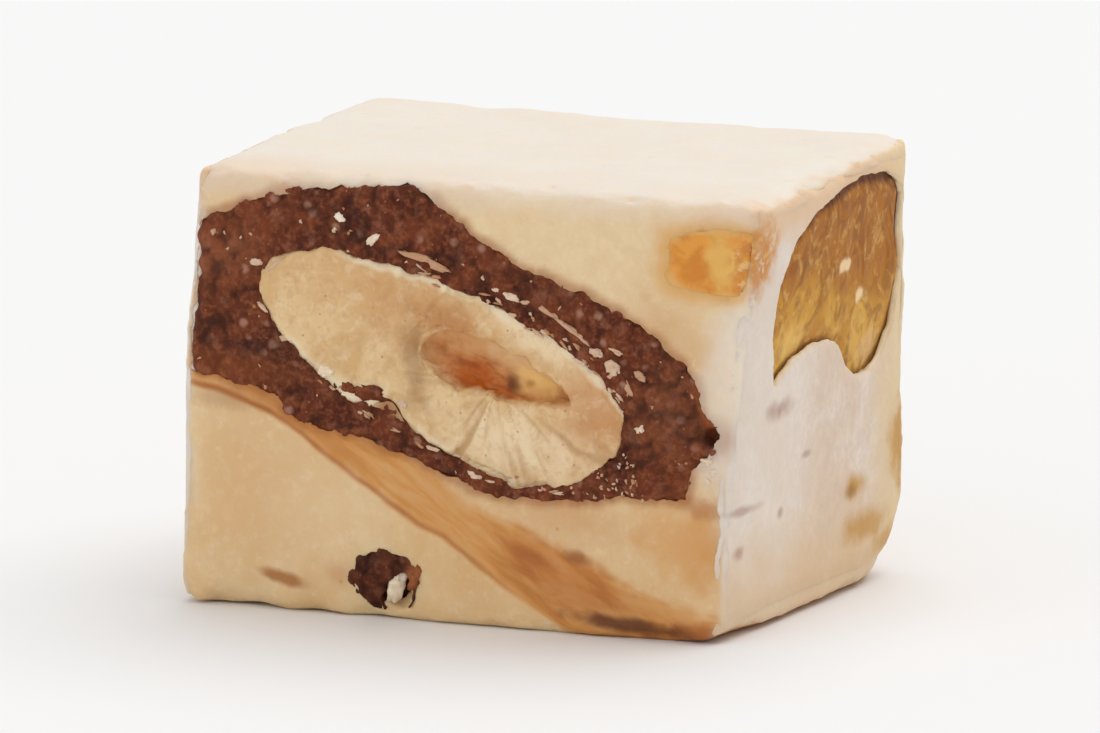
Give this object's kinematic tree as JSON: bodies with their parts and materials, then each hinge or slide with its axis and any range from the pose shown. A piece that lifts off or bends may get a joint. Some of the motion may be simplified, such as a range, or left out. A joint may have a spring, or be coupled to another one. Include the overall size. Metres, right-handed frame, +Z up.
{
  "type": "soft almond nougat bar",
  "caption": "Short cut bar of soft cream nougat with a cinnamon-coated almond in its front cut, a golden almond in its right end and wafer paper over the two ends.",
  "frame": {"origin": "on the surface that the bar rests on, under the middle of its box", "axes": "+X along the bar from the left wafer sheet to the right one, -Y out of the front cut with the coated almond, +Z up"},
  "size_m": [0.0334, 0.0226, 0.0237],
  "materials": {
    "nougat": "satin",
    "cinnamon_coat": "matte",
    "cut_almond": "satin",
    "golden_almond": "satin",
    "caramelised_almond": "satin",
    "wafer_paper": "matte"
  },
  "bodies": {
    "root": {"nougat_body": "nougat", "cinnamon_coat": "cinnamon_coat", "cinnamon_almond": "cut_almond", "corner_almond": "golden_almond", "almond_chip": "caramelised_almond", "cinnamon_crumb": "cinnamon_coat", "wafer_right": "wafer_paper", "wafer_left": "wafer_paper"}
  },
  "joints": []
}
